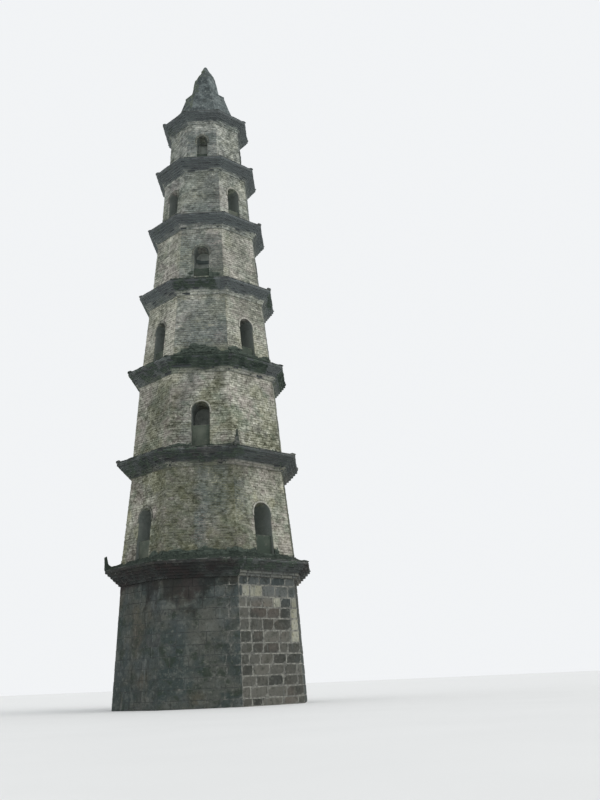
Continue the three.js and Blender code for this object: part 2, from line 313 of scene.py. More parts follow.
def block_template(columns, rows):
    """Corner places of one block as (across, up, layer), the first two from -1 to 1, and its
    quads. Layer 0 is the front, layer 1 the edge round it and layer 2 the buried back edge."""
    across, up = np.meshgrid(np.linspace(-1, 1, columns + 1), np.linspace(-1, 1, rows + 1))
    front = np.stack([across, up, np.zeros(up.shape)], axis=-1).reshape(-1, 3)
    index = np.arange(len(front)).reshape(up.shape)
    rim = np.concatenate([index[0, :-1], index[:-1, -1], index[-1, :0:-1], index[:0:-1, 0]])
    edge = len(front) + np.arange(len(rim))
    bands = (rim, edge), (edge, edge + len(rim))
    sides = np.array([[low, high, np.roll(high, -1), np.roll(low, -1)] for low, high in bands])
    places = np.concatenate([front, front[rim] + UP, front[rim] + 2 * UP])
    return places, np.concatenate([grid_quads(*up.shape), sides.transpose(2, 0, 1).reshape(-1, 4)])


class Blocks:
    """Gathers blocks of masonry that become one mesh."""

    def __init__(self, columns, rows):
        self.template, self.quads = block_template(columns, rows)
        self.batches = []

    def lay(self, face, low, high, proud, bed, chamfer, tone, jitter):
        """Blocks on a face, each between a low and a high (across, up) place. The other values
        are one for all or one for each."""
        low, high = np.atleast_2d(low), np.atleast_2d(high)
        count = len(low)
        axes = [np.tile(axis, (count, 1)) for axis in (face.across, face.up, face.out)]
        sizes = [np.broadcast_to(size, count) for size in (proud, bed, chamfer, tone, jitter)]
        self.batches.append([face.at((low + high) / 2), *axes, (high - low) / 2, *sizes])

    def make(self, name, slot, material, paint):
        """One mesh of all blocks. Paint gives the weathering at its points."""
        columns = [np.concatenate(column) for column in zip(*self.batches)]
        centre, across, up, out, half, proud, bed, chamfer, tone, jitter = columns
        x, y, layer = self.template.T
        shrink = chamfer[:, None] * (layer == 0)
        sunk = np.where(layer == 1, (proud - chamfer)[:, None], -bed[:, None])
        wide = x * np.maximum(half[:, :1] - shrink, THINNEST_HALF)
        tall = y * np.maximum(half[:, 1:] - shrink, THINNEST_HALF)
        local = np.stack([wide, tall, np.where(layer == 0, proud[:, None], sunk)], axis=-1)
        wobble = rng.normal(0, 1, local.shape) * jitter[:, None, None] * (layer < 2)[:, None]
        local = local + wobble * np.array([1, 1, 0.7])
        points = centre[:, None] + across[:, None] * local[..., :1] + up[:, None] * local[..., 1:2]
        points = (points + out[:, None] * local[..., 2:]).reshape(-1, 3)
        points[:, 2] = np.maximum(points[:, 2], 0.0)
        count, size = local.shape[:2]
        quads = self.quads + (np.arange(count) * size)[:, None, None]
        rim = np.where(layer == 0, np.maximum(np.abs(x), np.abs(y)), 1.0)
        values = {"tone": np.repeat(tone, size), **paint(points)}
        values.update({"rim": np.tile(rim, count), "high": np.tile((y + 1) / 2, count)})
        make_piece(name, slot, material, points, quads.reshape(-1, 4), values, smooth=False)


def row_pieces(low, high, length, offset, spread):
    """Cuts a row from low to high into lengths, the first joint at an offset."""
    joints = [low]
    place = low + offset
    while place < high - length * 0.3:
        if place - joints[-1] > length * 0.25:
            joints.append(place)
        place += length * rng.uniform(1 - spread, 1 + spread)
    joints.append(high)
    return list(zip(joints[:-1], joints[1:]))


def brick_row(half, length):
    """Spans of a row of bricks right across a face, the first one cut short."""
    return np.array(row_pieces(-half, half, length, length * rng.uniform(0.4, 1), 0.15))


def row_ends(spans, gap, bottom, top):
    """Low and high corners of a row of blocks, a gap in from the ends of its spans."""
    low = np.stack([spans[:, 0] + gap, np.full(len(spans), bottom)], axis=1)
    high = np.stack([spans[:, 1] - gap, np.broadcast_to(top, len(spans))], axis=1)
    return low, high


def half_opening(storey, z_low, z_high):
    """Half of what an opening and its rim take from a row of bricks, or None."""
    width, foot, spring = opening(storey)
    outer = width / 2 + RIM_WIDTH
    if z_high <= foot or z_low >= spring + outer:
        return None
    if z_high <= spring - RIM_LEG:
        return width / 2
    if z_low <= spring:
        return outer
    return math.sqrt(outer * outer - (z_low - spring) ** 2)


def free_stretches(storey, azimuth, half, z_low, z_high):
    """Parts of a row that no opening takes."""
    blocked = half_opening(storey, z_low, z_high) if azimuth in opening_azimuths(storey) else None
    if blocked is None:
        return [(-half, half)]
    return [(-half, -blocked - BRICK_JOINT / 2), (blocked + BRICK_JOINT / 2, half)]


# Weathering of the walls

# Dark damp of whole faces, by storey, for the left, front and right face
FACE_DAMP = [
    (0.9, 0.9, 0.2), (0.38, 0.96, 0.32), (0.45, 0.3, 0.15), (0.08, 0.32, 0.06), (0.35, 0.55, 0.12),
    (0.35, 0.6, 0.0), (0.45, 0.72, 0.15),
]

# Parts of faces, as (storey, face, left, right, low, high, amount), in shares of the face. A row
# may leave out the heights, or all four limits. What goes past a corner ends sharply at it.
NO_LIMITS = [-2, 2, -1, 2]
SOFT_SIDES = 0.1
SOFT_ENDS = 0.04
STAINS = [
    (2, 0, -0.1, 0.8, 0.3, 0.8, 1.0), (2, 0, -0.6, 0.0, 0.0, 0.3, 0.95), (2, 0, -0.9, 0.5, 0.86, 1.2, 0.95),
    (2, 45, -0.3, 0.4, 0.0, 0.2, 0.8), (2, 45, -2, -0.45, 0.85), (2, -45, 0.45, 2, 0.85),
    (3, 0, -0.45, 0.35, -1, 0.26, 0.85), (3, 0, -2, -0.3, 0.1, 0.85, 0.6), (3, -45, 0.2, 1.0, 0.3, 0.9, 0.7),
    (4, 0, -0.85, 2, -1, 0.58, 0.8), (4, 0, -0.7, 0.2, 0.5, 0.95, 0.6), (4, 0, 0.5, 1.0, 0.5, 0.8, 0.6),
    (5, 0, 0.3, 2, -1, 0.84, 0.95), (5, 0, -0.45, 0.35, -1, 0.76, 0.95), (5, 0, -2, -0.4, -1, 0.86, 0.6),
    (6, 0, 0.1, 2, -1, 0.86, 0.8), (6, 0, -0.5, 0.1, 0.2, 0.7, 0.65),
    (7, 0, -0.9, 2, -1, 0.76, 0.8), (7, -45, -2, 2, -1, 0.5, 0.2),
]
PALE_PARTS = [
    (2, 45, -0.3, 2, 0.3), (3, 0, -2, 2, 0.92, 2, 0.6), (3, 45, -2, 2, 0.92, 2, 0.7),
    (3, -45, -2, 2, 0.93, 2, 0.6), (4, 45, 0.45), (4, -45, 0.8), (4, 0, -2, 2, 0.88, 2, 0.55),
    (5, 0, -2, 2, 0.88, 2, 0.8), (5, 45, 0.45), (5, -45, -2, 2, 0.9, 2, 0.7), (5, -45, 0.25),
    (6, 45, 0.45), (6, 0, 0.3, 2, 0.88, 2, 0.6), (6, 0, -2, -0.5, 0.2, 0.9, 0.3), (7, 0, -2, 2, 0.8, 2, 0.9),
    (7, 45, 0.5), (7, 45, -2, 2, 0.82, 2, 0.8), (7, -45, -2, 2, 0.86, 2, 0.8), (7, -45, 0.4),
]
COLD_PARTS = [
    (2, 0, -0.15, 0.25, 0.1, 1.2, 0.8), (2, 0, 0.25, 0.8, 0.45, 1.2, 0.5), (2, 45, -2, -0.5, 0.4, 0.9, 0.5),
    (3, 0, -0.7, -0.1, 0.5), (4, 0, -2, 2, 0.2, 0.95, 0.75), (5, 0, 0.1, 2, -1, 0.9, 0.6),
    (5, 0, -2, 0.1, 0.7), (6, 0, 0.8), (6, -45, 0.6), (6, 45, 0.6), (7, 0, 1.0), (7, 45, 0.8), (7, -45, 1.0),
]

# Height in metres of the moss on the foot of each wall
MOSS_FEET = [
    (2, 0, 0.52), (2, 45, -2, 0.5, 0.52), (2, -45, 0.26), (2, -45, 0.4, 2, 0.5),
    (3, 0, -2, -0.1, 0.4), (3, 0, 0.1, 2, 0.24), (3, 45, 0.2), (3, -45, 0.28),
    (4, 0, -0.8, 0.74, 0.6), (4, 0, -0.44, 0.36, 0.74), (4, 0, 0.46), (4, 45, -2, 0.1, 0.62), (4, 45, 0.48),
    (4, -45, 0.22), (5, 0, -0.8, 0.9, 0.54), (5, 45, 0.3), (5, -45, 0.25), (6, 0, 0.3), (6, 45, 0.22),
    (7, 0, 0.26),
]

# Moss that hangs over cornices
HANGING_MOSS = [
    (1, 0, 0.1, 2, 0.45), (1, 45, -2, 0.3, 0.5), (3, 0, -0.8, 2, 1.0), (3, 45, -2, 0.5, 0.9), (3, -45, 0.5),
    (4, 0, -2, 0.6, 0.6),
]


def within(low, high, soft, value):
    return smooth_step(low - soft, low + soft, value) * smooth_step(high + soft, high - soft, value)


def parts_at(table, storey, like, across, share):
    """The strongest listed amount at each place of a storey's wall."""
    total = np.zeros(across.shape)
    for listed, face, *limits, amount in table:
        if listed == storey:
            left, right, low, high = limits + NO_LIMITS[len(limits):]
            inside = within(left, right, SOFT_SIDES, across) * within(low, high, SOFT_ENDS, share)
            total = np.maximum(total, amount * inside * (like == face))
    return total


def wall_paint(storey, points):
    """Damp, paleness, blue-grey parts and moss at points of one storey's wall."""
    _, like, across, share = place_on_wall(points, storey)
    warp = rough(points, 0.7, 300 + storey) - 0.5
    streak = rough(points, 0.35, 320 + storey, 0.3) - 0.5
    spread = across + (warp + streak) * 0.35, share + (warp + streak) * 0.16
    damp = np.maximum(by_face(like, *FACE_DAMP[storey - 1]), parts_at(STAINS, storey, like, *spread))
    pale = parts_at(PALE_PARTS, storey, like, *spread)
    damp = damp * (1 - 0.8 * pale) + (warp + streak) * 0.42
    drip = smooth_step(0.45, 1.0, share) * smooth_step(0.5, 0.64, rough(points, 0.42, 380 + storey, 0.1))
    damp = np.maximum(damp, drip * np.where(like == 0, 0.9, 0.6))
    above = points[..., 2] - storey_foot(storey)
    height = parts_at(MOSS_FEET, storey, like, across + warp * 0.4, share)
    bumps = rough(points, 0.4, 340 + storey) - 0.5
    edge = height * (0.95 + 0.5 * bumps) + 0.25 * bumps
    moss = smooth_step(edge + 0.14, edge - 0.14, above) * smooth_step(0.0, 0.2, height)
    cold = parts_at(COLD_PARTS, storey, like, *spread) + (rough(points, 0.9, 360 + storey) - 0.5) * 0.8
    return {"damp": np.clip(damp, 0, 1), "pale": pale, "moss": moss, "cold": np.clip(cold, 0, 1)}


def base_paint(points):
    """Damp, darkening just below the eave, warm brown and cool patches and pale pointing of the base."""
    _, like, across, share = place_on_wall(points, 1)
    warp = rough(points, 0.9, 400) - 0.5
    below = np.maximum(CORNICE_FOOT_Z[0] - points[..., 2], 0)
    reach = 0.3 + 1.4 * smooth_step(0.4, 0.62, rough(points, 0.5, 410, 0.35))
    amount = by_face(like, 0.8, 1.0 - 0.5 * smooth_step(-0.1, 0.4, across), 0.25)
    cool_top = smooth_step(0.74, 0.88, share + warp * 0.1)
    cool_patches = smooth_step(0.5, 0.68, rough(points, 0.8, 430))
    pointed = by_face(like, 0.0, 0.75 * smooth_step(0.0, 0.7, across + warp), 1.0)
    return {
        "damp": np.clip(by_face(like, *FACE_DAMP[0]) + warp * 0.6, 0, 1),
        # Darker on the left and front faces, most just below the cornice and less further down.
        "darkening": amount * np.exp(-below / reach / 0.6),
        "warm": smooth_step(0.52, 0.7, rough(points, 1.2, 420)),
        "cool": np.where(like == 45, cool_top, cool_patches),
        "pointed": pointed * smooth_step(0.3, 0.5, rough(points, 0.7, 440) + 0.35 * (like == 45)),
    }


# Mean tone of each cornice, and the depth of its dark part below the eave. The courses under that
# are as pale as the wall, except on the left-hand faces and at the right-hand end.
EAVE_TONES = [0.02, -0.1, 0.95, 0.88, 0.22, 0.14, 0.26]
DARK_DEPTHS = [1.0, 0.47, 0.46, 0.4, 0.38, 0.44, 0.38]
STOREY_MOSS = [0.95, 0.85, 1.0, 0.55, 0.45, 0.35, 0.4]


def moss_share(storey, places):
    """How mossy a roof is at some places: most on the low eaves and the front and left."""
    by_side = 0.5 + 0.5 * np.cos(np.radians(azimuth_of(places) + 25))
    noise = rough(places, 0.8, 60 + storey)
    return np.clip((0.35 + 0.65 * by_side) * STOREY_MOSS[storey - 1] + (noise - 0.5) * 1.2, 0, 1)


def eave_paint(storey, points):
    """Grime, darkening on the lowest cornice's left and front, moss and pale lowest courses of a cornice."""
    face, like, across, _ = place_on_wall(points, storey)
    below = EAVE_Z[storey - 1] - points[..., 2] + (rough(points, 0.7, 460 + storey) - 0.5) * 0.22
    dark = DARK_DEPTHS[storey - 1]
    clean = smooth_step(dark - 0.03, dark + 0.03, below) * np.where((like == -45) | (face == 90), 0.25, 1.0)
    warp = rough(points, 0.5, 480 + storey) - 0.5
    moss = parts_at(HANGING_MOSS, storey, like, across + warp * 0.5, 0.5)
    moss = moss * smooth_step(0.62, 0.3, below + warp * 0.6)
    moss = np.maximum(moss, moss_share(storey, points) * 0.55)
    # Darker on the left and front of the lowest cornice.
    darkening = by_face(like, 0.75, smooth_step(0.75, -0.15, across + warp), 0.0) * (storey == 1)
    moss = moss * (1 - 0.8 * darkening * smooth_step(0.1, 0.3, below))
    return {"damp": rough(points, 1.1, 40 + storey), "moss": moss, "clean": clean * (1 - moss), "darkening": darkening}


# Brick walls

def brick_spans(storey, azimuth, face):
    """Places of the bricks of one face, as (left, low, right, high)."""
    courses = round(face.length / BRICK_COURSE)
    course = face.length / courses
    spans = []
    for row in range(courses):
        low, high = row * course + BRICK_JOINT / 2, (row + 1) * course - BRICK_JOINT / 2
        half = face.half_width((low + high) / 2) + BRICK_LAP
        offset = BRICK_LENGTH * (0.5 if row % 2 else 1.0) + rng.normal(0, 0.03)
        for start, end in free_stretches(storey, azimuth, half, face.height(low), face.height(high)):
            for left, right in row_pieces(start, end, BRICK_LENGTH, offset, 0.14):
                spans.append((left + BRICK_JOINT / 2, low, right - BRICK_JOINT / 2, high))
    return np.array(spans)


def lay_wall_bricks(storey):
    bricks = Blocks(2, 1)
    foot, top = storey_foot(storey) + 0.01, CORNICE_FOOT_Z[storey - 1]
    for azimuth in AZIMUTHS:
        face = Face(azimuth, wall_radius(storey, foot), foot, WALL_TOP_RADII[storey - 1], top)
        spans = brick_spans(storey, azimuth, face)
        count = len(spans)
        places = face.at((spans[:, :2] + spans[:, 2:]) / 2)
        decay = rough(places, 0.9, storey)
        rows = rough(places, 0.8, 500 + storey, 7.0) - 0.5
        mossy = wall_paint(storey, places)["moss"]
        close = (mossy > 0.4)[:, None] * (BRICK_JOINT / 2 + 0.003)
        spans = spans + close * np.array([-1, -1, 1, 1])
        kept = rng.random(count) > 0.006 + 0.03 * (decay > 0.66)
        worn = rng.random(count) < 0.14 + 0.3 * (decay > 0.6)
        proud = np.maximum(0.014 + 0.02 * (decay - 0.5) + rng.normal(0, 0.004, count) - 0.006 * worn, 0.002)
        proud = proud + mossy * rng.uniform(0.0, 0.05, count)
        tone = np.clip(rng.normal(0.5, 0.24, count) + 0.3 * (decay - 0.5) + 0.8 * rows, 0, 1)
        chamfer, jitter = np.where(worn, 0.014, 0.007), np.where(worn, 0.006, 0.003)
        proud, chamfer, tone, jitter = (each[kept] for each in (proud, chamfer, tone, jitter))
        bricks.lay(face, spans[kept, :2], spans[kept, 2:], proud, BRICK_BED, chamfer, tone, jitter)
    bricks.make(f"storey_{storey}_bricks", "wall_brick", "brick", partial(wall_paint, storey))


# Stone base

# Pale blocks and quoins of the right-hand face, as (course from the top, start, end, paleness),
# the places in shares of the face from its left corner
PALE_STONES = [
    (1, 0.16, 0.36, 0.18), (2, 0.06, 0.4, 0.8), (3, 0.19, 0.39, 0.56), (3, 0.39, 0.58, 0.5),
    (3, 0.58, 0.71, 0.56), (3, 0.9, 1.0, 0.62), (4, 0.88, 1.0, 0.9), (5, 0.87, 1.0, 0.8),
    (6, 0.86, 1.0, 0.74),
]


def base_joints(length):
    """Heights of the bed joints up the base's slope, from the top course down to the ground."""
    joints = [length]
    while joints[-1] > STONE_COURSES[-1] * 1.5:
        index = min(len(joints), len(STONE_COURSES)) - 1
        joints.append(joints[-1] - STONE_COURSES[index])
    return joints + [0.0]


def lay_stone(blocks, face, pointed, left, right, below, above, paleness):
    """One stone of the base, rougher and with wider joints where the masonry is pointed."""
    joint, proud, jitter = (STONE_JOINT, 0.014, 0.005) if pointed else (STONE_JOINT * 0.3, 0.008, 0.003)
    tone = np.clip(rng.normal(0.36, 0.2), 0, 0.72) + paleness
    skew = rng.normal(0, 0.004, 2) if pointed else (0, 0)
    low = left + joint / 2 + skew[0], below + joint / 2
    high = right - joint / 2, above - joint / 2 + skew[1]
    proud = proud + rng.normal(0, 0.003)
    blocks.lay(face, low, high, proud, bed=0.012, chamfer=0.009, tone=tone, jitter=jitter)


def lay_base_blocks():
    blocks = Blocks(5, 3)
    for azimuth in AZIMUTHS:
        face = Face(azimuth, WALL_FOOT_RADII[0], 0.0, WALL_TOP_RADII[0], CORNICE_FOOT_Z[0])
        pointed = azimuth in POINTED_FACES
        joints = base_joints(face.length)
        for course, (above, below) in enumerate(zip(joints[:-1], joints[1:]), start=1):
            half = face.half_width((above + below) / 2) + STONE_LAP
            pale = [row[1:] for row in PALE_STONES if LIKE_FACE[azimuth] == 45 and row[0] == course]
            marks = sorted({share * 2 * half - half for row in pale for share in row[:2]})
            length = rng.uniform(0.58, 0.8) if pointed else rng.uniform(0.5, 0.9)
            for start, end in free_stretches(1, azimuth, half, face.height(below), face.height(above)):
                stops = [start] + [m for m in marks if start + 0.05 < m < end - 0.05] + [end]
                for low, high in zip(stops[:-1], stops[1:]):
                    for left, right in row_pieces(low, high, length, length * rng.uniform(0.5, 1), 0.35):
                        share = ((left + right) / 2 + half) / (2 * half)
                        paleness = max((row[2] for row in pale if row[0] < share < row[1]), default=0.0)
                        lay_stone(blocks, face, pointed, left, right, below, above, paleness)
    blocks.make("base_blocks", "base_stone", "stone", base_paint)


# Cornices

def lay_cornice_bricks(storey):
    """Bricks on each corbelled course and on the edge band of one cornice, and stones on the two
    lowest courses over the pointed faces of the base."""
    bricks, stones = Blocks(2, 1), Blocks(5, 2)
    stone_spans = np.array(row_pieces(-1, 1, 0.4, 0.26, 0.2))
    edge, wall = EDGE_RADII[storey - 1], WALL_TOP_RADII[storey - 1]
    foot, top = CORNICE_FOOT_Z[storey - 1], EAVE_Z[storey - 1]
    course = (top - EDGE_BAND - foot) / CORBEL_COURSES
    bed = (edge - wall) / (CORBEL_COURSES + 1) * FLAT * 0.9
    for index in range(CORBEL_COURSES + 1):
        is_edge = index == CORBEL_COURSES
        radius = edge if is_edge else between(wall, edge, (index + 1) / (CORBEL_COURSES + 1))
        low_z = foot + index * course
        high_z = top if is_edge else low_z + course
        levels = -0.003, high_z - low_z - 0.003
        for azimuth in AZIMUTHS:
            face = Face(azimuth, radius, low_z, radius, high_z)
            half = face.half_width(0) + BRICK_LAP
            if storey == 1 and index < 2 and azimuth in POINTED_FACES:
                # A high tone makes these stones pale: partly their own pale colour, partly painted light that
                # lifts the shade under the overhang above.
                tone = rng.normal(0.86, 0.1, len(stone_spans))
                ends = row_ends(stone_spans * half, 0.02, *levels)
                stones.lay(face, *ends, 0.008, bed, chamfer=0.009, tone=tone, jitter=0.003)
                continue
            spans = brick_row(half, EAVE_BRICK_LENGTH)
            count = len(spans)
            run = rough(face.origin + spans.mean(axis=1)[:, None] * face.across, 0.5, 520 + storey, 0.25)
            broken = rng.random(count) < (0.1 if is_edge else 0.04)
            proud = 0.007 + rng.normal(0, 0.005, count) - 0.025 * broken
            tone = np.clip(rng.normal(EAVE_TONES[storey - 1], 0.12, count) + 2.0 * (run - 0.5), 0, 1)
            chamfer, ends = np.where(broken, 0.016, 0.008), row_ends(spans, 0.003, *levels)
            bricks.lay(face, *ends, proud, bed, chamfer, tone, jitter=0.005)
    bricks.make(f"eave_{storey}_bricks", "cornice_brick", "eave", partial(eave_paint, storey))
    if stones.batches:
        stones.make("eave_1_stones", "base_stone", "stone", clean_stone_paint)


def clean_stone_paint(points):
    return {**base_paint(points), "darkening": np.zeros(len(points)), "damp": np.zeros(len(points))}


# Eave roofs, as rings round the octagon

SLOPE_COURSES = 4
SLOPE_STEPS = 36


def ring_directions(steps):
    """Unit-radius places round the octagon, each face in equal steps."""
    shares = -1 + 2 * np.arange(steps) / steps
    sides = [outward(a) * FLAT + along(a) * math.sin(HALF_SIDE) * shares[:, None] for a in AZIMUTHS]
    return np.concatenate(sides)


def roof_foot_radius(storey, z):
    """Corner radius of what stands on an eave."""
    if storey < 7:
        return wall_radius(storey + 1, z)
    return between(BELL_FOOT_RADIUS, BELL_TOP_RADIUS, (z - EAVE_Z[6]) / (BELL_TOP - EAVE_Z[6]))


def slope_profile(storey):
    """Outline of an eave's roof as (radius, stepped height, smooth height), from the lower
    outer edge to the wall."""
    edge, rise = EDGE_RADII[storey - 1] - 0.012, ROOF_RISES[storey - 1]
    inner = roof_foot_radius(storey, EAVE_Z[storey - 1] + rise) - 0.02

    def surface(share):
        return TILE_EDGE + (rise - TILE_EDGE) * (share - ROOF_SAG * math.sin(math.pi * share))

    points = [(edge - 0.01, 0.0, 0.0), (edge, 0.03, 0.03)]
    for course in range(SLOPE_COURSES):
        start, end = course / SLOPE_COURSES, (course + 1) / SLOPE_COURSES
        low, high = surface(start), surface(end)
        riser_top = max(low, between(low, high, 0.8))
        middle = between(start, end, 0.5), between(riser_top, high, 0.4)
        for share, height in ((start, low), (start + 0.02, riser_top), middle):
            points.append((between(edge, inner, share), height, surface(share)))
    points += [(inner, rise, rise), (inner - 0.05, rise, rise), (inner - 0.05, 0.02, 0.02)]
    return np.array(points)


def slope_mesh(storey):
    """Weathered roof of one eave: stepped courses, half buried under mortar and moss."""
    directions, profile = ring_directions(SLOPE_STEPS), slope_profile(storey)
    levels, eave = len(profile), EAVE_Z[storey - 1]
    places = directions[None] * profile[:, :1, None]
    flat = places + UP * eave
    cover = smooth_step(0.42, 0.62, rough(flat, 0.7, 20 + storey))
    moss = moss_share(storey, flat)
    is_top = np.zeros((levels, 1))
    is_top[1:-2] = 1
    towards_wall = np.arange(levels)[:, None] / levels
    mound = smooth_step(0.42, 0.72, rough(flat, 0.34, 35 + storey)) * moss * 0.11 * towards_wall
    height = between(profile[:, 1:2], profile[:, 2:], cover)
    height = height + (rough(flat, 0.16, 30 + storey) - 0.5) * 0.05 + mound * is_top
    push = 1 + (rough(flat, 0.3, 50 + storey) - 0.6) * 0.014 * is_top
    places = places * push[..., None]
    places[..., 2] = eave + np.maximum(height, 0.0005)
    values = {"tone": rough(flat, 0.3, 70 + storey), "moss": moss * is_top}
    return places, grid_quads(levels, len(directions), ring=True, closed=True), values


# Hip ridges and horns

HORN_STATIONS = 22
HORN_AROUND = 16


def curve_through(controls):
    """Smooth curve through control places, as equal steps along its control polygon."""
    controls = np.array(controls, float)
    padded = np.vstack([2 * controls[0] - controls[1], controls, 2 * controls[-1] - controls[-2]])
    lengths = np.linalg.norm(np.diff(controls, axis=0), axis=1)
    marks = np.concatenate([[0], np.cumsum(lengths)])
    result = []
    for mark in np.linspace(0, marks[-1], HORN_STATIONS):
        k = min(int(np.searchsorted(marks, mark, side="right")) - 1, len(lengths) - 1)
        t = (mark - marks[k]) / lengths[k]
        a, b, c, d = padded[k : k + 4]
        line = 2 * b + (c - a) * t
        result.append(0.5 * (line + (2 * a - 5 * b + 4 * c - d) * t**2 + (3 * b - a - 3 * c + d) * t**3))
    return np.array(result)


def rounded(wave):
    """A sine or cosine swollen towards a square."""
    return np.sign(wave) * np.abs(wave) ** 0.55


def horn_mesh(storey, corner):
    """Hip ridge and what is left of the horn on one corner of an eave."""
    tip = HORN_TIPS[storey - 1][corner]
    eave, edge, rise = EAVE_Z[storey - 1], EDGE_RADII[storey - 1], ROOF_RISES[storey - 1]
    inner = roof_foot_radius(storey, eave + rise) - 0.06
    reach, back = edge + HORN_REACH - 0.004, edge - DIP_BACK
    dip = between(DIP_HEIGHT, tip, 0.2)
    heel = max(tip - 0.06, 0.015)
    tip_width = between(0.15, 0.1, tip / WHOLE_HORN)
    bend = between(back, inner, 0.55)
    top = curve_through([
        (inner, rise + RIDGE_HEIGHT), (bend, between(dip, rise + RIDGE_HEIGHT, 0.42)), (back, dip),
        (edge - 0.15, between(dip, tip, 0.12)), (reach - tip_width, tip),
    ])
    bottom = curve_through([
        (inner, 0.03), (bend, 0.02), (back, 0.01), (edge - 0.01, 0.006), (edge + 0.03, heel * 0.45),
        (reach, heel),
    ])
    tall = smooth_step(0.25, 0.6, tip)
    foot_half = (0.088 + 0.05 * tall) * rng.uniform(0.92, 1.12)
    tip_half = between(0.078, 0.028, smooth_step(0.12, 0.4, tip)) * rng.uniform(0.85, 1.1)
    half_thickness = between(foot_half, tip_half, smooth_step(0.5, 1.0, np.linspace(0, 1, HORN_STATIONS)))
    azimuth = (corner + 0.5) * 45 - 180
    out, side = outward(azimuth), along(azimuth)
    turns = np.linspace(0, 2 * math.pi, HORN_AROUND, endpoint=False)
    x, y = rounded(np.cos(turns)), rounded(np.sin(turns))
    taper = 1 - 0.45 * tall * (y + 1) / 2
    rings = []
    for upper, lower, half in zip(top, bottom, half_thickness):
        radius, z = (((upper + lower) / 2)[:, None] + ((upper - lower) / 2)[:, None] * y)[..., None]
        rings.append(out * radius + side * (half * x * taper)[:, None] + UP * (eave + z))
    centre = rings[-1].mean(axis=0)
    rings.append(centre + (rings[-1] - centre) * 0.7 + out * 0.012)
    rings.append(np.repeat(centre[None] + out * 0.014, HORN_AROUND, axis=0))
    rings.insert(0, np.repeat(rings[0].mean(axis=0)[None], HORN_AROUND, axis=0))
    places = np.array(rings)
    lump = rough(places, 0.11, 80 + storey) - 0.5
    axis = places.mean(axis=1, keepdims=True)
    places = axis + (places - axis) * (1 + lump[..., None] * 0.45)
    places[..., :2] *= np.minimum(1, (edge + HORN_REACH - 0.002) / reach_of(places))[..., None]
    places[..., 2] = np.maximum(places[..., 2], eave + 0.001)
    values = {"tone": rough(places, 0.25, 90 + storey), "moss": moss_share(storey, places) * 0.7}
    return places, grid_quads(*places.shape[:2], ring=True)[:, ::-1], values


def reach_of(places):
    """Distances from the tower's axis."""
    return np.linalg.norm(places[..., :2], axis=-1)


def add_eave_roof(storey):
    parts = [slope_mesh(storey)] + [horn_mesh(storey, corner) for corner in range(SIDES)]
    piece = make_piece(f"eave_{storey}_weathered_roof", "roof_tile", "roof", *joined(parts))
    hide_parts(f"eave_{storey}_roof")
    edging = Blocks(2, 1)
    radius, base = EDGE_RADII[storey - 1], EAVE_Z[storey - 1]
    for azimuth in AZIMUTHS:
        face = Face(azimuth, radius, base, radius, base + TILE_EDGE)
        spans = brick_row(face.half_width(0), EDGING_LENGTH)
        spans = spans[rng.random(len(spans)) > 0.08]
        count = len(spans)
        ends = row_ends(spans, 0.004, 0.002, TILE_EDGE - rng.uniform(0.002, 0.018, count))
        proud, tone = 0.012 + rng.normal(0, 0.007, count), rng.random(count)
        edging.lay(face, *ends, proud, bed=0.16, chamfer=0.01, tone=tone, jitter=0.005)
    edging.make(f"eave_{storey}_edging", "roof_tile", "roof", partial(eave_paint, storey))


# Bell, neck and finial

BELL_STEPS = 22
NECK_STEPS = 10
FINIAL_LEVELS = 36
FINIAL_AROUND = 64


def push_out(places, distance):
    places[..., :2] *= (1 + distance / np.maximum(reach_of(places), 0.05))[..., None]


def render_skin(outline, directions, seed, relief):
    """Rings of a rendered surface through (radius, z) places, with worn patches in its relief."""
    outline = np.array(outline)
    places = directions[None] * outline[:, :1, None]
    places[..., 2] = outline[:, 1:]
    lost = smooth_step(0.52, 0.57, rough(places, 0.55, seed))
    fine = rough(places, 0.14, seed + 5) - 0.5
    push_out(places, relief * (0.45 - lost * 0.9 + fine * 0.9))
    return places, grid_quads(*places.shape[:2], ring=True), {"tone": fine + 0.5, "damp": lost}


def outline_steps(low, high, step):
    """Places from low to high (radius, z), not more than a step apart."""
    low, high = np.array(low, float), np.array(high, float)
    count = max(1, round(float(np.linalg.norm(high - low)) / step))
    return [tuple(between(low, high, k / count)) for k in range(count + 1)]


def add_bell():
    foot = EAVE_Z[6] + 0.25
    lip = BELL_TOP_RADIUS + 0.02
    outline = outline_steps((roof_foot_radius(7, foot) + 0.014, foot), (lip - 0.01, BELL_TOP - 0.08), 0.06)
    outline += [(lip + 0.012, BELL_TOP - 0.06), (lip + 0.014, BELL_TOP), (lip - 0.03, BELL_TOP + 0.025)]
    outline += outline_steps((lip - 0.1, BELL_TOP + 0.03), (NECK_FOOT_RADIUS - 0.05, BELL_TOP + 0.05), 0.06)
    skin = render_skin(outline, ring_directions(BELL_STEPS), 101, 0.018)
    make_piece("bell_render", "roof_render", "render", *skin)


def add_neck():
    foot, top = (NECK_FOOT_RADIUS + 0.012, BELL_TOP + 0.01), (NECK_TOP_RADIUS + 0.012, NECK_TOP)
    skin = render_skin(outline_steps(foot, top, 0.05), ring_directions(NECK_STEPS), 131, 0.016)
    make_piece("neck_render", "roof_render", "render", *skin)


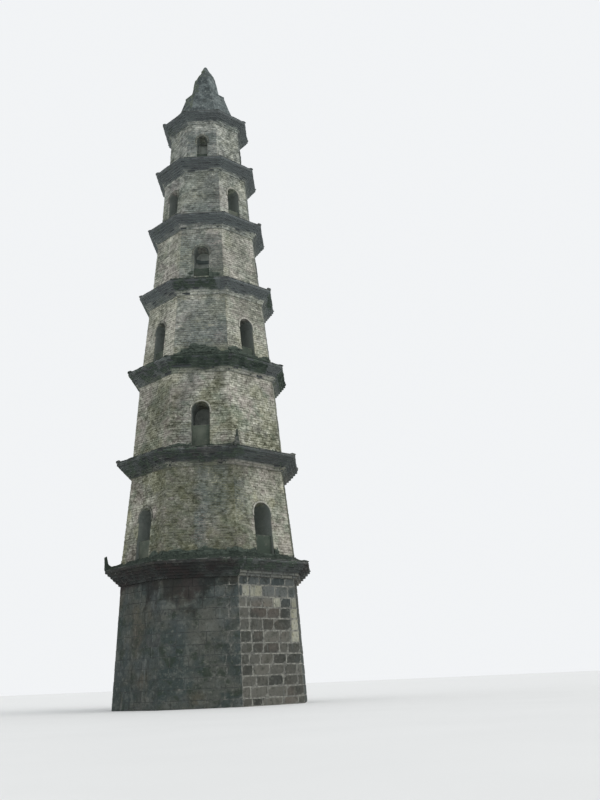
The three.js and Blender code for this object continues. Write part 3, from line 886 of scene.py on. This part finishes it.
def add_finial():
    outline = [(NECK_TOP_RADIUS - 0.06, NECK_TOP - 0.03)]
    for share in np.arange(FINIAL_LEVELS + 1) / FINIAL_LEVELS:
        radius = between(FINIAL_RADIUS, 0.035, share) + 0.01 * math.sin(math.pi * share)
        outline.append((radius, between(NECK_TOP, FINIAL_TOP - 0.012, share)))
    outline.append((0.001, FINIAL_TOP - 0.004))
    turns = np.linspace(0, 2 * math.pi, FINIAL_AROUND, endpoint=False)
    directions = np.stack([np.cos(turns), np.sin(turns), np.zeros(FINIAL_AROUND)], axis=1)
    places, quads, values = render_skin(outline, directions, 161, 0.05)
    lump = (rough(places, 0.2, 171) - 0.5) * 0.07
    push_out(places, lump * smooth_step(0.02, 0.3, reach_of(places)))
    piece = make_piece("finial_render", "roof_render", "moss_render", places, quads, values)
    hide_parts("roof_finial")


# Openings: voussoirs over the arch rims, and uneven plaster on the infill

RIM_TONES = [0.5, 0.62, 0.6, 0.8, 0.1, 0.55, 0.1]
INFILL_DAMP = {
    (2, 45): 1.0, (2, -45): 0.65, (3, 0): 0.75, (4, -45): 0.9, (4, 45): 1.0, (5, 0): 1.0, (6, 45): 0.5,
    (6, -45): 0.5, (7, 0): 1.1,
}
INFILL_COLUMNS = 14
INFILL_ROWS = 18


def lay_arch(blocks, storey, azimuth):
    width, _, spring = opening(storey)
    face = Face(azimuth, wall_radius(storey, spring), spring, wall_radius(storey, spring + 1), spring + 1)
    inner, outer = width / 2 + 0.004, width / 2 + RIM_WIDTH + 0.008
    count = round(math.pi * outer / VOUSSOIR_WIDTH)
    middle, rise = (inner + outer) / 2, (outer - inner) / 2
    half = math.pi * middle / count / 2 - 0.003
    mean_tone = RIM_TONES[storey - 1] * (0.4 if LIKE_FACE[azimuth] == -45 else 1)

    def lay(face, low, high, proud):
        tone = np.clip(rng.normal(mean_tone, 0.1), 0, 1)
        blocks.lay(face, low, high, RIM_PROUD + proud, bed=0.02, chamfer=0.008, tone=tone, jitter=0.003)

    for k in range(count):
        turn = math.pi * (k + 0.5) / count - math.pi / 2
        stone = face.turned(-math.sin(turn) * middle, math.cos(turn) * middle, turn)
        lay(stone, (-half, -rise), (half, rise), 0.006 + rng.normal(0, 0.003))
    for left, right in ((-outer, -inner), (inner, outer)):
        for low in (0.002 - RIM_LEG / 2, 0.002 - RIM_LEG):
            lay(face, (left, low), (right, low + RIM_LEG / 2 - 0.004), 0.006)


def add_arches():
    for storey in STOREYS:
        blocks = Blocks(2, 2)
        for azimuth in opening_azimuths(storey):
            lay_arch(blocks, storey, azimuth)
        blocks.make(f"storey_{storey}_arch_bricks", "wall_brick", "rim", partial(wall_paint, storey))


def infill_panel(storey, azimuth):
    """Uneven plaster over the masonry that closes the lower part of an opening."""
    width, foot, _ = opening(storey)
    top = foot + INFILL_HEIGHTS[storey - 1]
    out = outward(azimuth)
    across = np.linspace(-width / 2 + 0.002, width / 2 - 0.002, INFILL_COLUMNS)
    across, z = np.meshgrid(across, np.linspace(foot + 0.002, top + 0.012, INFILL_ROWS))
    places = along(azimuth) * across[..., None] + out * (wall_radius(storey, top) * FLAT - INFILL_RECESS)
    places[..., 2] = z
    near_top = smooth_step(INFILL_ROWS - 3, INFILL_ROWS - 1, np.arange(INFILL_ROWS))[:, None]
    wear = near_top * rough(places, 0.15, 210) * 0.05
    places = places + out * (0.012 + rough(places, 0.25, 200 + storey) * 0.03)[..., None]
    places[..., 2] -= wear
    places = np.concatenate([places, (places[-1] - out * 0.2)[None]])
    damp = INFILL_DAMP[storey, LIKE_FACE[azimuth]] + (rough(places, 0.35, 220 + storey) - 0.5) * 0.9
    values = {"tone": rough(places, 0.2, 230), "damp": np.clip(damp, 0, 1)}
    return places, grid_quads(*places.shape[:2]), values


def add_infills():
    parts = [infill_panel(s, a) for s in STOREYS[1:] for a in opening_azimuths(s)]
    make_piece("window_infill", "wall_brick", "plaster", *joined(parts))


# Materials

class Shader:
    """A short way to write a material's nodes. A value is a number, a colour, an output of
    another node or the name of a mesh attribute."""

    def __init__(self, name, roughness):
        self.material = bpy.data.materials.new(name)
        self.material.use_nodes = True
        self.tree = self.material.node_tree
        self.surface = self.tree.nodes["Principled BSDF"]
        self.surface.inputs["Roughness"].default_value = roughness
        self.surface.inputs["Specular IOR Level"].default_value = 0.25
        self.place = self.node("TexCoord", "Object", {})
        self.normal = self.node("NewGeometry", "Normal", {})

    def link(self, socket, value):
        if isinstance(value, str):
            value = self.node("Attribute", "Fac", {}, attribute_name=value)
        if hasattr(value, "is_output"):
            self.tree.links.new(value, socket)
        elif isinstance(value, tuple) and socket.type == "RGBA":
            socket.default_value = (*value, 1.0)
        else:
            socket.default_value = value

    def node(self, kind, output, inputs, **settings):
        node = self.tree.nodes.new("ShaderNode" + kind)
        for setting, value in settings.items():
            setattr(node, setting, value)
        for key, value in inputs.items():
            self.link(node.inputs[key], value)
        return node.outputs[output]

    def noise(self, scale, detail, roughness, stretch=(1, 1, 1)):
        place = self.node("Mapping", "Vector", {"Vector": self.place, "Scale": stretch})
        inputs = {"Vector": place, "Scale": scale, "Detail": detail, "Roughness": roughness}
        return self.node("TexNoise", "Fac", inputs)

    def ramp(self, value, low, high, amount=1.0):
        """0 below low and the amount above high, smooth between. Low may be the larger one."""
        first, last = (0.0, amount) if low < high else (amount, 0.0)
        inputs = {"Value": value, "From Min": min(low, high), "From Max": max(low, high)}
        inputs.update({"To Min": first, "To Max": last})
        return self.node("MapRange", "Result", inputs, interpolation_type="SMOOTHSTEP")

    def math(self, operation, first, second):
        return self.node("Math", "Value", {0: first, 1: second}, operation=operation)

    def times(self, first, second):
        return self.math("MULTIPLY", first, second)

    def plus(self, first, second):
        return self.math("ADD", first, second)

    def broken(self, value, grain, amount):
        """A value whose edge is broken up by a grain."""
        return self.plus(value, self.times(self.math("SUBTRACT", grain, 0.5), amount))

    def mix(self, share, first, second, blend="MIX"):
        return self.node("Mix", 2, {"Factor": share, 6: first, 7: second}, data_type="RGBA", blend_type=blend)

    def tint(self, value, low, high, first, second):
        return self.mix(self.ramp(value, low, high), first, second)

    def layered(self, body, *layers):
        """A colour under layers, each as (value, low, high, amount, colour) and maybe a blend."""
        for value, low, high, amount, *colour in layers:
            body = self.mix(self.ramp(value, low, high, amount), body, *colour)
        return body

    def at(self, axis):
        return self.node("SeparateXYZ", axis, {"Vector": self.place})

    def facing(self, axis):
        return self.node("SeparateXYZ", axis, {"Vector": self.normal})

    def facing_axis(self):
        """How much a surface looks towards the tower's axis, 0 or less for one that doesn't."""
        inward = self.node("VectorMath", "Vector", {0: self.place, 1: (-1, -1, 0)}, operation="MULTIPLY")
        return self.node("VectorMath", "Value", {0: inward, 1: self.normal}, operation="DOT_PRODUCT")

    def finish(self, colour, height, distance):
        self.link(self.surface.inputs["Base Color"], colour)
        bump = self.node("Bump", "Normal", {"Height": height, "Distance": distance})
        self.link(self.surface.inputs["Normal"], bump)
        return self.material


def moss_over(s, body, amount, grain, dark=(0.015, 0.023, 0.018), light=(0.042, 0.055, 0.043)):
    """Moss over a colour, its edge broken up by a grain."""
    moss = s.tint(grain, 0.38, 0.64, dark, light)
    return s.tint(s.broken(amount, grain, 1.6), 0.42, 0.6, body, moss)


def greyed_with_height(s, body, low, high):
    """Dark masonry mixed towards a pale blue-grey with height, from none on the lowest eave to most on the
    top.
    """
    return s.mix(s.ramp(s.at("Z"), low, high, 0.62), body, (0.083, 0.096, 0.099))


def inner_face(s, body, coarse):
    """Pale colour on whatever faces the tower's hollow: painted light, lifting the dark inside of the
    openings in place of haze and bounce light.
    """
    inside = s.tint(coarse, 0.35, 0.65, (0.4, 0.41, 0.38), (0.58, 0.59, 0.55))
    return s.tint(s.facing_axis(), 0.6, 0.85, body, inside)


def wall_colour(s, tone_low, tone_high, damp, pale, cold):
    """Brick or mortar under lichen, stains and damp. Also gives back its middle and fine noise."""
    tone, height = s.ramp("tone", 0.05, 0.95), s.at("Z")
    field = s.noise(0.8, 3, 0.55)
    other = s.noise(1.3, 3, 0.55, (1.1, 0.9, 1.3))
    light = s.noise(0.75, 3, 0.5, (0.9, 1.2, 0.8))
    middle = s.noise(2.6, 4, 0.6, (1, 1, 1.2))
    grain = s.noise(5.5, 3, 0.66, (1, 1, 1.7))
    speck = s.noise(11, 3, 0.7, (1, 1, 1.3))
    streak = s.noise(2.4, 4, 0.6, (1, 1, 0.18))
    olive_share = s.math("SUBTRACT", 0.6, s.ramp(height, 9.4, 10.4, 0.2))
    body = s.layered(
        s.mix(tone, tone_low, tone_high),
        (field, 0.5, 0.58, olive_share, (0.245, 0.248, 0.14)),
        (field, 0.48, 0.4, 0.55, (0.335, 0.29, 0.275)),
        (other, 0.53, 0.62, 0.55, (0.185, 0.225, 0.17)),
    )
    body = s.mix(s.times(pale, 0.75), body, (0.46, 0.445, 0.375))
    body = s.mix(s.times(cold, 0.5), body, s.mix(tone, (0.15, 0.182, 0.186), (0.32, 0.36, 0.355)))
    wet = s.times(damp, s.ramp(s.plus(streak, s.times(damp, 0.35)), 0.4, 0.66))
    olive = s.tint(middle, 0.4, 0.6, (0.066, 0.074, 0.048), (0.118, 0.124, 0.074))
    slate = s.tint(middle, 0.4, 0.6, (0.062, 0.078, 0.074), (0.104, 0.124, 0.12))
    body = s.mix(s.times(wet, 0.86), body, s.mix(cold, olive, slate))
    dry = s.math("SUBTRACT", 1.0, s.times(wet, 0.65))
    body = s.layered(
        body,
        (light, 0.51, 0.64, s.times(dry, 0.6), (0.5, 0.52, 0.48), "MULTIPLY"),
        (light, 0.49, 0.36, s.times(dry, 0.6), (0.14, 0.135, 0.115), "ADD"),
        (middle, 0.52, 0.66, 0.75, (0.5, 0.51, 0.46), "MULTIPLY"),
        (middle, 0.47, 0.34, s.times(dry, 0.7), (0.15, 0.148, 0.125), "ADD"),
        (grain, 0.48, 0.38, 0.75, (0.42, 0.43, 0.39), "MULTIPLY"),
        (grain, 0.54, 0.64, s.times(dry, 0.75), (0.2, 0.197, 0.165), "ADD"),
        (speck, 0.57, 0.67, s.times(dry, 0.65), (0.26, 0.256, 0.22), "ADD"),
        (speck, 0.43, 0.35, 0.55, (0.4, 0.41, 0.37), "MULTIPLY"),
        (middle, 0.5, 0.62, s.ramp(height, 19.0, 23.0, 0.7), (0.55, 0.57, 0.56), "MULTIPLY"),
        (height, 11.0, 18.0, 0.06, (0.62, 0.68, 0.7)),
    )
    return body, middle, grain


def masonry(name, tone_low, tone_high, joint):
    """Weathered brick, or the mortar behind it that also lines openings and the hollow."""
    s = Shader(name, 0.92)
    body, middle, grain = wall_colour(s, tone_low, tone_high, "damp", "pale", "cold")
    body = moss_over(s, body, "moss", grain, (0.032, 0.044, 0.036), (0.076, 0.096, 0.078))
    if joint:
        # Painted light: surfaces turned a little towards the axis, such as jambs and soffits of the openings,
        # are lightened to lift their shade.
        body = s.mix(s.ramp(s.facing_axis(), 0.04, 0.16, 0.9), body, (0.17, 0.192, 0.178))
        body = inner_face(s, body, middle)
    return s.finish(body, s.plus(s.noise(38, 5, 0.7), s.times(grain, 1.4)), 0.014)


def stone_material():
    s = Shader("base_ashlar", 0.85)
    broad = s.noise(0.9, 4, 0.6)
    middle = s.noise(2.6, 5, 0.62)
    grain = s.noise(8, 5, 0.7)
    streak = s.noise(1.8, 5, 0.62, (1, 1, 0.12))
    drip = s.noise(4.5, 4, 0.7, (1, 1, 0.1))
    blue = s.tint("tone", 0.1, 0.8, (0.046, 0.06, 0.062), (0.118, 0.13, 0.128))
    pale = s.tint(middle, 0.4, 0.62, (0.34, 0.33, 0.24), (0.46, 0.455, 0.38))
    body = s.tint("tone", 0.05, 0.72, (0.044, 0.044, 0.038), (0.13, 0.126, 0.108))
    body = s.mix(s.times("warm", 0.5), body, (0.112, 0.092, 0.08))
    body = s.tint("tone", 0.75, 1.2, s.mix(s.times("cool", 0.75), body, blue), pale)
    body = s.layered(body, (middle, 0.52, 0.66, 0.6, (0.5, 0.52, 0.48), "MULTIPLY"))
    slate = s.tint(broad, 0.44, 0.58, (0.036, 0.052, 0.05), (0.072, 0.08, 0.07))
    slate = s.mix(s.times("warm", 0.7), slate, (0.076, 0.07, 0.046))
    slate = s.layered(
        s.mix(s.times("cool", 0.7), slate, (0.052, 0.065, 0.066)),
        (middle, 0.53, 0.64, 0.8, (0.024, 0.038, 0.026)),
        (middle, 0.46, 0.36, 0.7, (0.108, 0.12, 0.108)),
    )
    wet = s.times("damp", s.ramp(streak, 0.22, 0.48))
    body = s.layered(
        s.mix(s.times(wet, 0.9), body, slate),
        (drip, 0.58, 0.7, 0.5, (0.13, 0.148, 0.142)),
        (grain, 0.55, 0.68, 0.45, (0.17, 0.178, 0.15)),
        (grain, 0.46, 0.35, 0.6, (0.026, 0.03, 0.025)),
    )
    mortar = s.tint(grain, 0.4, 0.6, (0.1, 0.103, 0.095), (0.25, 0.252, 0.225))
    creep = s.ramp(s.broken("rim", grain, 0.12), 0.96, 1.0, 0.55)
    black = s.tint(broad, 0.45, 0.55, (0.02, 0.021, 0.02), (0.031, 0.025, 0.024))
    body = s.mix(s.times(creep, "pointed"), body, mortar)
    # Near black where the base is darkened just below its cornice.
    body = s.layered(body, (s.broken("darkening", middle, 1.1), 0.2, 0.6, 0.8, black))
    return s.finish(body, s.plus(s.noise(26, 6, 0.7), middle), 0.02)


def base_mortar_material():
    """Joints of the base: pale on the faces turned to the right, dark and damp on the others."""
    s = Shader("base_mortar", 0.95)
    coarse, grain = s.noise(2.2, 5, 0.6), s.noise(7, 4, 0.65)
    near_right = s.ramp(s.at("X"), 0.3, 1.5, 0.3)
    patch = s.broken(s.plus(s.facing("X"), near_right), coarse, 2.2)
    dark = s.tint(coarse, 0.4, 0.7, (0.045, 0.051, 0.049), (0.095, 0.102, 0.096))
    dark = s.mix(s.ramp(s.at("Z"), 3.2, 4.5, 0.8), dark, (0.02, 0.02, 0.019))
    pale = s.tint(grain, 0.4, 0.6, (0.13, 0.132, 0.12), (0.27, 0.27, 0.238))
    body = inner_face(s, s.tint(patch, 0.2, 0.55, dark, pale), coarse)
    return s.finish(body, s.noise(28, 5, 0.7), 0.012)


def eave_material():
    s = Shader("eave_brick", 0.9)
    field, middle, grain = s.noise(0.9, 3, 0.55), s.noise(2.4, 4, 0.62), s.noise(8, 5, 0.7)
    body = s.layered(
        s.tint("tone", 0.1, 0.9, (0.022, 0.025, 0.024), (0.056, 0.062, 0.056)),
        (field, 0.5, 0.6, 0.75, (0.028, 0.024, 0.023)),
        (field, 0.48, 0.38, 0.55, (0.072, 0.082, 0.077)),
        (middle, 0.53, 0.66, 0.6, (0.032, 0.029, 0.028)),
        (middle, 0.46, 0.34, 0.5, (0.088, 0.094, 0.082)),
        # Painted light: faces turned towards +X are lighter, as if lit from the right.
        (s.facing("X"), 0.35, 0.75, 0.5, (0.078, 0.086, 0.083)),
        (grain, 0.56, 0.7, 0.5, (0.13, 0.138, 0.122)),
        ("damp", 0.45, 0.7, s.ramp(grain, 0.4, 0.58, 0.55), (0.024, 0.031, 0.027)),
    )
    body = moss_over(s, greyed_with_height(s, body, 4.0, 18.0), "moss", middle)
    # Painted light: the upper part of each course and the faces turned down are brightened, to lift the shade
    # under each corbelled step.
    underside_light = s.ramp(s.facing("Z"), -0.35, -0.8)
    body = s.mix(s.ramp("high", 0.2, 1.0), body, (2.1, 2.1, 2.1), "MULTIPLY")
    body = s.mix(underside_light, body, (2.5, 2.5, 2.45), "MULTIPLY")
    black = s.tint(middle, 0.42, 0.58, (0.024, 0.026, 0.025), (0.036, 0.028, 0.027))
    # Near black on the darkened left and front of the lowest cornice.
    body = s.mix(s.times("darkening", 0.85), body, black)
    low, high, cold = (0.205, 0.208, 0.172), (0.42, 0.42, 0.355), s.ramp(s.at("Z"), 10.0, 26.0)
    wall = wall_colour(s, low, high, s.times("damp", 0.35), s.times("damp", 0.5), cold)[0]
    # Painted light on the pale courses as well: their upper parts and downward faces are brightened against
    # the shade under each step.
    wall = s.mix(s.ramp("high", 0.1, 1.0, 0.9), wall, (1.8, 1.8, 1.8), "MULTIPLY")
    wall = s.mix(s.times(underside_light, 0.9), wall, (0.16, 0.158, 0.132), "ADD")
    body = inner_face(s, s.mix(s.times("clean", 0.92), body, wall), middle)
    return s.finish(body, s.plus(s.noise(34, 5, 0.7), grain), 0.014)


def roof_material():
    s = Shader("mossy_roof", 0.93)
    grain = s.noise(8, 6, 0.72)
    body = s.tint("tone", 0.3, 0.65, (0.05, 0.056, 0.052), (0.125, 0.13, 0.118))
    body = s.mix(s.ramp(grain, 0.56, 0.68, 0.5), body, (0.22, 0.22, 0.19))
    body = moss_over(s, greyed_with_height(s, body, 8.0, 26.0), "moss", grain)
    return s.finish(body, s.plus(s.noise(30, 6, 0.75), s.times(grain, 1.4)), 0.02)


def render_material(name, moss):
    s = Shader(name, 0.9)
    coarse, grain, broad = s.noise(2.4, 5, 0.6), s.noise(7.5, 5, 0.7), s.noise(0.9, 3, 0.55)
    streak = s.noise(3, 5, 0.6, (1, 1, 0.14))
    body = s.tint(coarse, 0.38, 0.64, (0.05, 0.063, 0.065), (0.125, 0.148, 0.148))
    body = s.layered(
        s.mix(s.times("damp", 0.45), body, (0.066, 0.075, 0.073)),
        (broad, 0.5, 0.62, 0.35, (0.5, 0.52, 0.5), "MULTIPLY"),
        # Painted light: the side turned towards +X is lighter, as if lit from the right.
        (s.facing("X"), 0.15, 0.85, 0.8, (0.06, 0.068, 0.066), "ADD"),
        (grain, 0.54, 0.64, 0.8, (0.26, 0.29, 0.28)),
        (grain, 0.45, 0.36, 0.8, (0.03, 0.038, 0.038)),
        (streak, 0.5, 0.68, 0.6, (0.052, 0.062, 0.06)),
    )
    mossy = s.plus(s.plus(s.times(s.facing("X"), -0.3), coarse), moss)
    green = s.tint(grain, 0.4, 0.62, (0.05, 0.066, 0.048), (0.112, 0.135, 0.088))
    body = inner_face(s, s.layered(body, (mossy, 0.62, 0.8, 0.75, green)), coarse)
    return s.finish(body, s.plus(s.noise(26, 6, 0.7), grain), 0.016)


def rim_material():
    s = Shader("arch_rim", 0.93)
    body = s.tint("tone", 0.1, 0.9, (0.1, 0.105, 0.088), (0.5, 0.49, 0.43))
    body = s.mix(s.ramp(s.noise(8, 4, 0.65), 0.5, 0.66, 0.5), body, (0.14, 0.14, 0.115))
    body = s.mix(s.times("damp", 0.45), body, (0.09, 0.1, 0.085))
    return s.finish(body, s.noise(34, 5, 0.7), 0.01)


def plaster_material():
    s = Shader("window_plaster", 0.93)
    patch = s.noise(3.5, 5, 0.6)
    body = s.layered(
        s.mix("damp", (0.165, 0.178, 0.142), (0.048, 0.064, 0.05)),
        (patch, 0.56, 0.7, 0.35, (0.18, 0.18, 0.15)),
        (s.noise(3, 4, 0.6, (1, 1, 0.15)), 0.5, 0.7, 0.5, (0.045, 0.052, 0.046)),
    )
    return s.finish(body, s.plus(s.noise(24, 5, 0.7), patch), 0.012)


def paving_material():
    s = Shader("floor_paving", 0.95)
    body = s.tint(s.noise(1.8, 5, 0.6), 0.35, 0.65, (0.22, 0.22, 0.2), (0.36, 0.355, 0.32))
    return s.finish(body, s.noise(22, 5, 0.7), 0.01)


def floor_material():
    s = Shader("studio_floor", 0.8)
    body = s.mix(s.noise(0.35, 3, 0.5), (0.7, 0.705, 0.7), (0.74, 0.745, 0.74))
    return s.finish(body, s.noise(6, 3, 0.5), 0.002)


materials = {
    "brick": masonry("weathered_brick", (0.215, 0.218, 0.18), (0.47, 0.47, 0.4), joint=False),
    "mortar": masonry("wall_mortar", (0.125, 0.126, 0.104), (0.17, 0.17, 0.14), joint=True),
    "stone": stone_material(),
    "base_mortar": base_mortar_material(),
    "eave": eave_material(),
    "roof": roof_material(),
    "render": render_material("grey_render", 0.0),
    "moss_render": render_material("mossy_render", 0.12),
    "rim": rim_material(),
    "plaster": plaster_material(),
    "paving": paving_material(),
}

# Materials of the solids, by the first word of a node's name
NODE_MATERIALS = {"base": "base_mortar", "storey": "mortar", "eave": "eave", "roof": "render"}


def dress_nodes():
    for name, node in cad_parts.items():
        chosen = "paving" if name.endswith("_floor") else NODE_MATERIALS[name.split("_")[0]]
        node.data.materials.clear()
        node.data.materials.append(materials[chosen])


# Studio

FLOOR_HALF = 600
FLOOR_Z = -0.002

# Light inside storeys 2 to 7, in watts
ROOM_LIGHTS = [56, 11, 18, 20, 18, 15]


def add_studio():
    mesh = bpy.data.meshes.new("studio_floor")
    corners = [(x * FLOOR_HALF, y * FLOOR_HALF, FLOOR_Z) for x, y in ((-1, -1), (1, -1), (1, 1), (-1, 1))]
    mesh.from_pydata(corners, [], [(0, 1, 2, 3)])
    mesh.materials.append(floor_material())
    floor = add_object("studio_floor", mesh)
    world = bpy.data.worlds.new("pale_studio")
    world.use_nodes = True
    background = world.node_tree.nodes["Background"]
    background.inputs["Color"].default_value = (0.86, 0.875, 0.89, 1)
    background.inputs["Strength"].default_value = 1.03
    scene = bpy.context.scene
    scene.world = world
    scene.view_settings.view_transform = "Standard"
    scene.view_settings.look = "None"


def add_light(name, kind, energy, colour):
    data = bpy.data.lights.new(name, kind)
    data.energy = energy
    data.color = colour
    return add_object(name, data)


def add_key_light():
    key = add_light("soft_key", "SUN", 1.0, (1.0, 0.985, 0.96))
    key.data.angle = math.radians(50)
    key.rotation_euler = (math.radians(48), 0, math.radians(62))


def add_room_light():
    """Weak light inside the brick storeys, in place of the haze that greys their openings."""
    for storey in STOREYS[1:]:
        lamp = add_light(f"storey_{storey}_room_light", "POINT", ROOM_LIGHTS[storey - 2], (0.92, 1.0, 1.02))
        lamp.data.shadow_soft_size = 0.4
        lamp.location = (0, 0, between(storey_foot(storey), EAVE_Z[storey - 1], 0.45))


def add_camera():
    pitch, yaw, roll = CAMERA_TURNS
    ahead = np.array([math.sin(yaw) * math.cos(pitch), math.cos(yaw) * math.cos(pitch), math.sin(pitch)])
    level = np.array([math.cos(yaw), -math.sin(yaw), 0.0])
    upright = np.cross(level, ahead)
    right = level * math.cos(roll) - upright * math.sin(roll)
    up = level * math.sin(roll) + upright * math.cos(roll)
    turn = Matrix.Rotation(math.radians(CAMERA_AZIMUTH), 4, "Z")
    axes = Matrix([right, up, -ahead]).transposed().to_4x4()
    data = bpy.data.cameras.new("camera")
    data.lens = CAMERA_LENS
    data.clip_end = 2000
    camera = add_object("camera", data)
    place = outward(CAMERA_AZIMUTH) * CAMERA_DISTANCE + UP * CAMERA_HEIGHT
    camera.matrix_world = Matrix.Translation(place) @ turn @ axes
    bpy.context.scene.camera = camera


dress_nodes()
lay_base_blocks()
for storey in STOREYS:
    if storey > 1:
        lay_wall_bricks(storey)
    lay_cornice_bricks(storey)
    add_eave_roof(storey)
add_bell()
add_neck()
add_finial()
add_arches()
add_infills()
add_studio()
add_key_light()
add_room_light()
add_camera()
